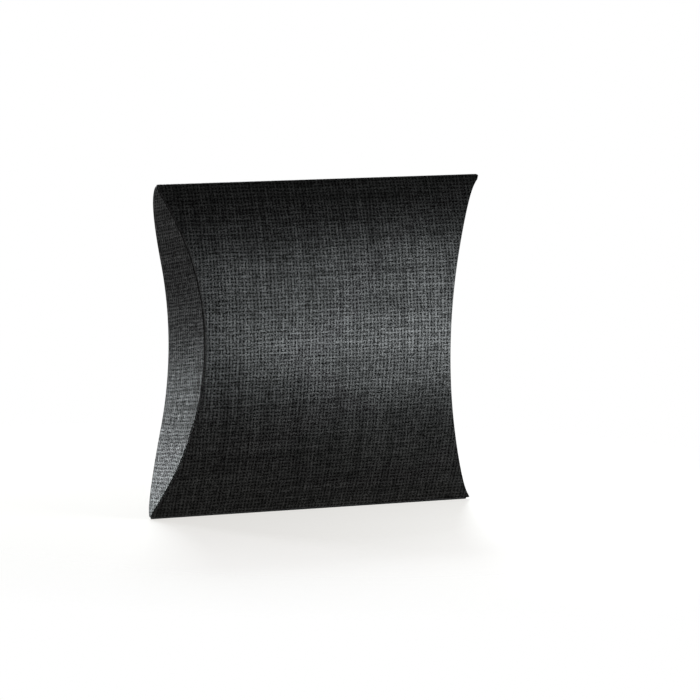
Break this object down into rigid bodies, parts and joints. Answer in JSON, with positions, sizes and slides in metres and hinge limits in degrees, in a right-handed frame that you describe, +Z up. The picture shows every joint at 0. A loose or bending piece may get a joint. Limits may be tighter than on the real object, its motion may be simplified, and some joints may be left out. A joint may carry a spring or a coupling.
{
  "type": "pillow box",
  "caption": "Pillow box of linen-embossed black card: a bulged sleeve glued along one straight edge, closed at its curved ends by lens-shaped flaps that fold in.",
  "frame": {"origin": "on the resting plane, midway along the seam edge that the box stands on", "axes": "+X along the straight folds, to the right seen from the front; +Y from the front wall to the back wall; +Z up"},
  "size_m": [0.1044, 0.0221, 0.095],
  "materials": {
    "card": "black card, linen emboss with a satin sheen outside, plain inside",
    "glue": "dried carton glue"
  },
  "bodies": {
    "sleeve": {"front_panel": "card", "back_panel": "card", "top_fold": "card", "bottom_fold": "card", "glue_tab": "card", "glue_film": "glue"},
    "left_outer": {"left_outer_flap": "card"},
    "left_inner": {"left_inner_flap": "card"},
    "right_outer": {"right_outer_flap": "card"},
    "right_inner": {"right_inner_flap": "card"}
  },
  "joints": [
    {"name": "left_outer_crease", "type": "hinge", "parent": "sleeve", "child": "left_outer", "pos_m": [-0.04035, 0.0126, 0.0475], "axis": [0, 0, -1], "range_deg": [0, 90]},
    {"name": "left_inner_crease", "type": "hinge", "parent": "sleeve", "child": "left_inner", "pos_m": [-0.0398, -0.00955, 0.0475], "axis": [0, 0, 1], "range_deg": [0, 90]},
    {"name": "right_outer_crease", "type": "hinge", "parent": "sleeve", "child": "right_outer", "pos_m": [0.04035, 0.0126, 0.0475], "axis": [0, 0, 1], "range_deg": [0, 90]},
    {"name": "right_inner_crease", "type": "hinge", "parent": "sleeve", "child": "right_inner", "pos_m": [0.0398, -0.00955, 0.0475], "axis": [0, 0, -1], "range_deg": [0, 90]}
  ],
  "couplings": [
    {"joint": "left_inner_crease", "follows": "left_outer_crease", "ratio": 1},
    {"joint": "right_inner_crease", "follows": "right_outer_crease", "ratio": 1}
  ]
}
